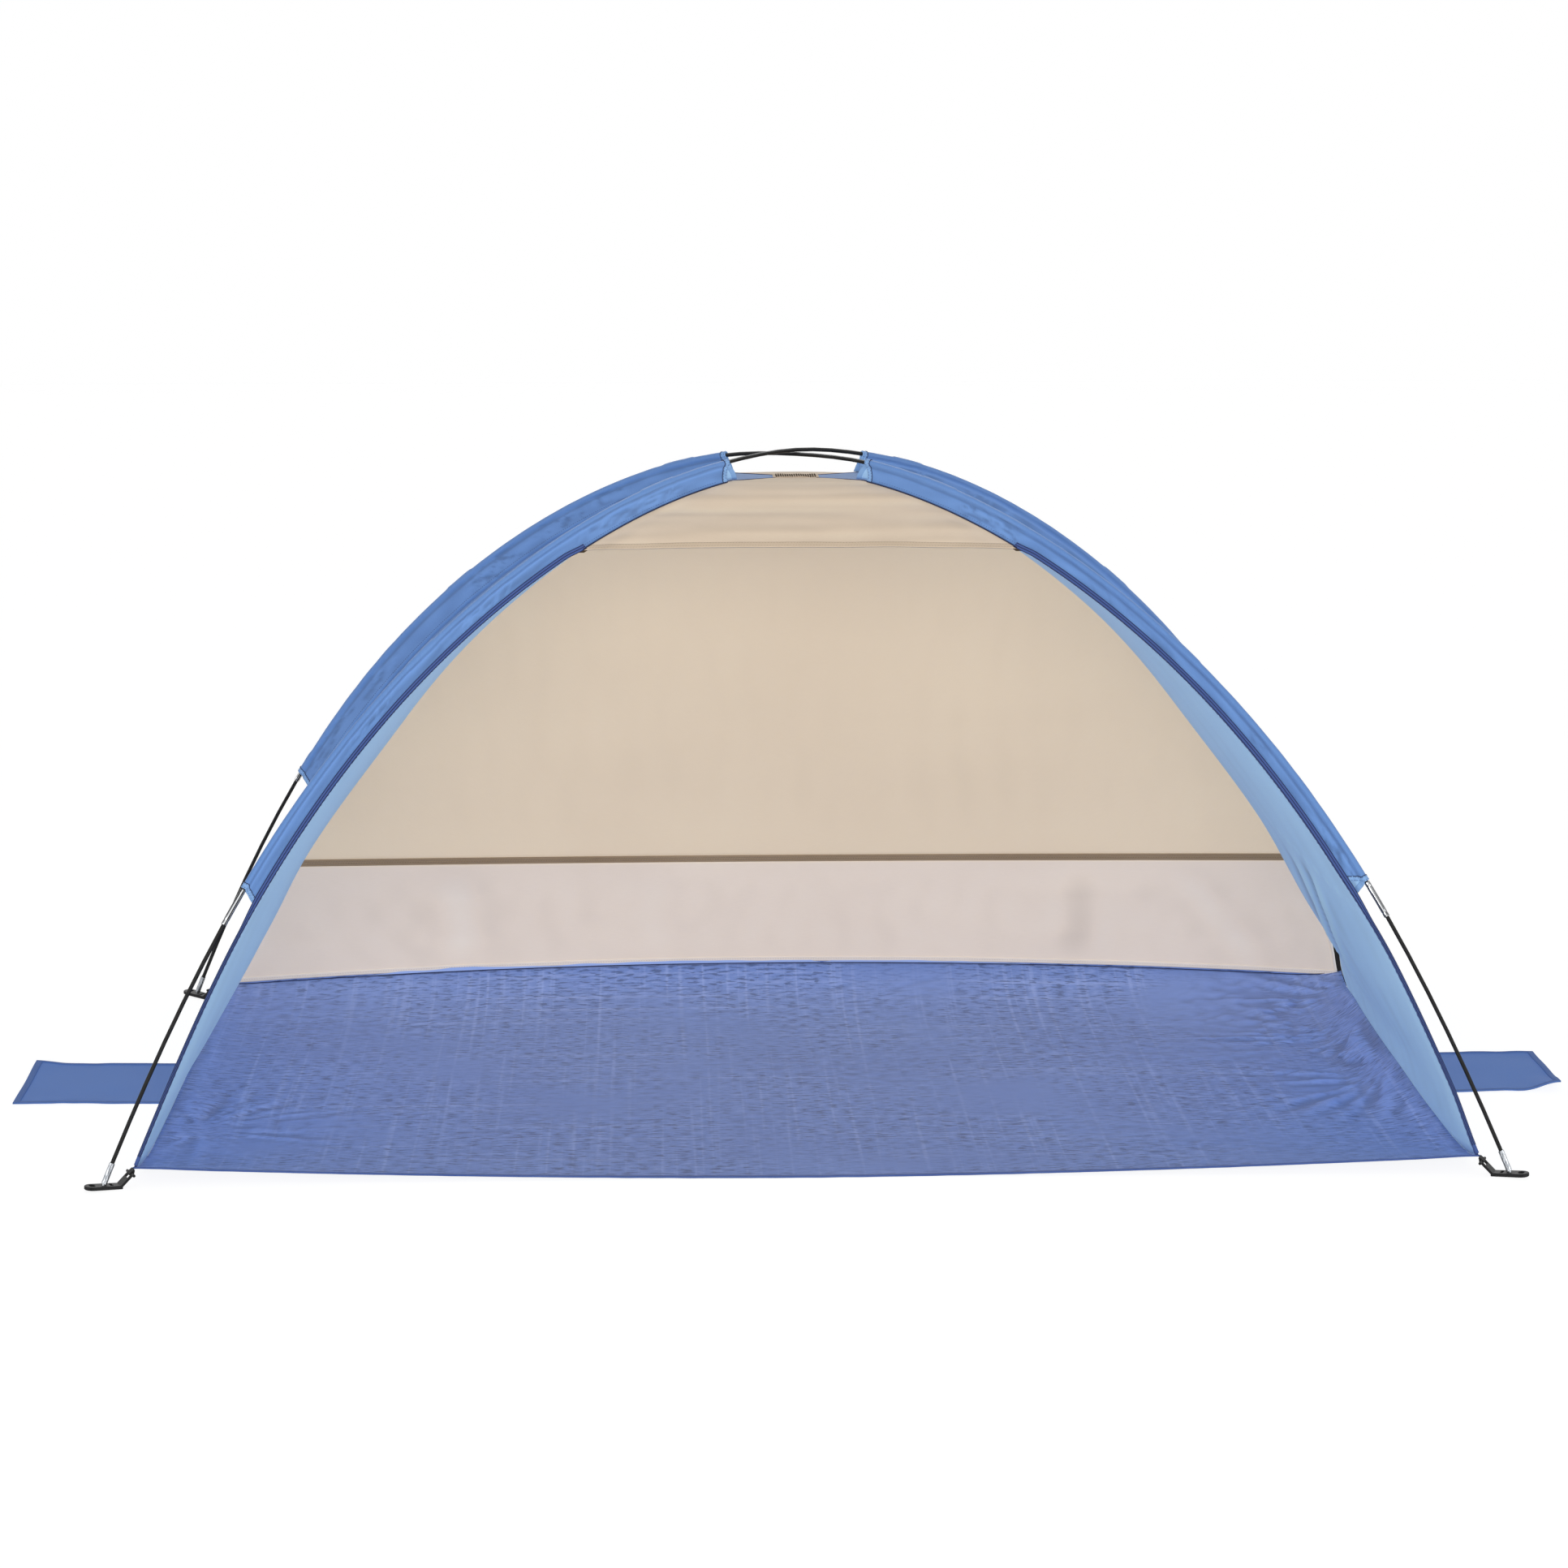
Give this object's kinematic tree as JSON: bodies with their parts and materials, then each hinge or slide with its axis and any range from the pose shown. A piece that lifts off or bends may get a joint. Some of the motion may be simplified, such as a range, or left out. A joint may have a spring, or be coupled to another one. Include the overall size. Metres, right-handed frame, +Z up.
{
  "type": "beach tent",
  "caption": "Open-fronted beach tent: crossed arched poles in fabric sleeves, sewn canopy and floor, swivelling plastic feet, side sand flaps and a hanging rear vent flap.",
  "frame": {"origin": "on the ground under the crossing of the poles, which is the middle of the footprint", "axes": "+X across the tent to the right as seen from the open front, -Y out of the open front, +Z up"},
  "size_m": [2.344, 1.2091, 0.9661],
  "materials": {
    "rod_black": "satin",
    "steel": "satin",
    "foot_black": "matt",
    "loop_black": "woven webbing",
    "canopy_beige": "plain woven",
    "hem_beige": "plain woven",
    "flap_beige": "plain woven",
    "tape_brown": "ribbed tape",
    "vent_binding_black": "ribbed tape",
    "wall_blue": "plain woven",
    "sleeve_blue": "plain woven",
    "binding_blue": "ribbed tape",
    "floor_blue": "coated woven",
    "sand_flap_blue": "plain woven"
  },
  "bodies": {
    "tent": {"apex_patch": "hem_beige", "awning": "canopy_beige", "awning_hem": "hem_beige", "floor_front_hem": "binding_blue", "floor_sheet": "floor_blue", "front_edge_binding_left": "binding_blue", "front_edge_binding_right": "binding_blue", "pole_a_ferrule_1": "steel", "pole_a_ferrule_2": "steel", "pole_a_ferrule_3": "steel", "pole_a_ferrule_4": "steel", "pole_a_ferrule_5": "steel", "pole_a_ferrule_6": "steel", "pole_a_section_1": "rod_black", "pole_a_section_2": "rod_black", "pole_a_section_3": "rod_black", "pole_a_section_4": "rod_black", "pole_a_section_5": "rod_black", "pole_a_section_6": "rod_black", "pole_a_section_7": "rod_black", "pole_b_ferrule_1": "steel", "pole_b_ferrule_2": "steel", "pole_b_ferrule_3": "steel", "pole_b_ferrule_4": "steel", "pole_b_ferrule_5": "steel", "pole_b_ferrule_6": "steel", "pole_b_section_1": "rod_black", "pole_b_section_2": "rod_black", "pole_b_section_3": "rod_black", "pole_b_section_4": "rod_black", "pole_b_section_5": "rod_black", "pole_b_section_6": "rod_black", "pole_b_section_7": "rod_black", "pole_tip_front_left": "steel", "pole_tip_front_right": "steel", "pole_tip_rear_left": "steel", "pole_tip_rear_right": "steel", "rear_panel": "canopy_beige", "rear_tape": "tape_brown", "side_wall_left": "wall_blue", "side_wall_right": "wall_blue", "sleeve_front_left": "sleeve_blue", "sleeve_front_right": "sleeve_blue", "sleeve_rear_left": "sleeve_blue", "sleeve_rear_right": "sleeve_blue", "vent_binding_left": "vent_binding_black", "vent_binding_right": "vent_binding_black"},
    "sand_flap_left": {"sand_flap_left": "sand_flap_blue"},
    "sand_flap_right": {"sand_flap_right": "sand_flap_blue"},
    "vent_flap": {"vent_flap": "flap_beige"},
    "foot_front_left": {"foot_front_left": "foot_black", "corner_loop_front_left": "loop_black"},
    "foot_front_right": {"foot_front_right": "foot_black", "corner_loop_front_right": "loop_black"},
    "foot_rear_left": {"foot_rear_left": "foot_black", "corner_loop_rear_left": "loop_black"},
    "foot_rear_right": {"foot_rear_right": "foot_black", "corner_loop_rear_right": "loop_black"}
  },
  "joints": [
    {"name": "vent_flap_hinge", "type": "hinge", "parent": "tent", "child": "vent_flap", "pos_m": [0, 0.50552, 0.23545], "axis": [1, 0, 0], "range_deg": [0, 120]},
    {"name": "sand_flap_left_hinge", "type": "hinge", "parent": "tent", "child": "sand_flap_left", "pos_m": [-0.939, 0, 0.0005], "axis": [0, 1, 0], "range_deg": [0, 110]},
    {"name": "sand_flap_right_hinge", "type": "hinge", "parent": "tent", "child": "sand_flap_right", "pos_m": [0.939, 0, 0.0005], "axis": [0, -1, 0], "range_deg": [0, 110]},
    {"name": "foot_front_left_swivel", "type": "hinge", "parent": "tent", "child": "foot_front_left", "pos_m": [-0.97623, -0.58593, 0.00431], "axis": [0, 0, 1], "range_deg": [-12, 12]},
    {"name": "foot_front_right_swivel", "type": "hinge", "parent": "tent", "child": "foot_front_right", "pos_m": [0.97623, -0.58593, 0.00431], "axis": [0, 0, 1], "range_deg": [-12, 12]},
    {"name": "foot_rear_left_swivel", "type": "hinge", "parent": "tent", "child": "foot_rear_left", "pos_m": [-0.97623, 0.58593, 0.00431], "axis": [0, 0, 1], "range_deg": [-12, 12]},
    {"name": "foot_rear_right_swivel", "type": "hinge", "parent": "tent", "child": "foot_rear_right", "pos_m": [0.97623, 0.58593, 0.00431], "axis": [0, 0, 1], "range_deg": [-12, 12]}
  ]
}
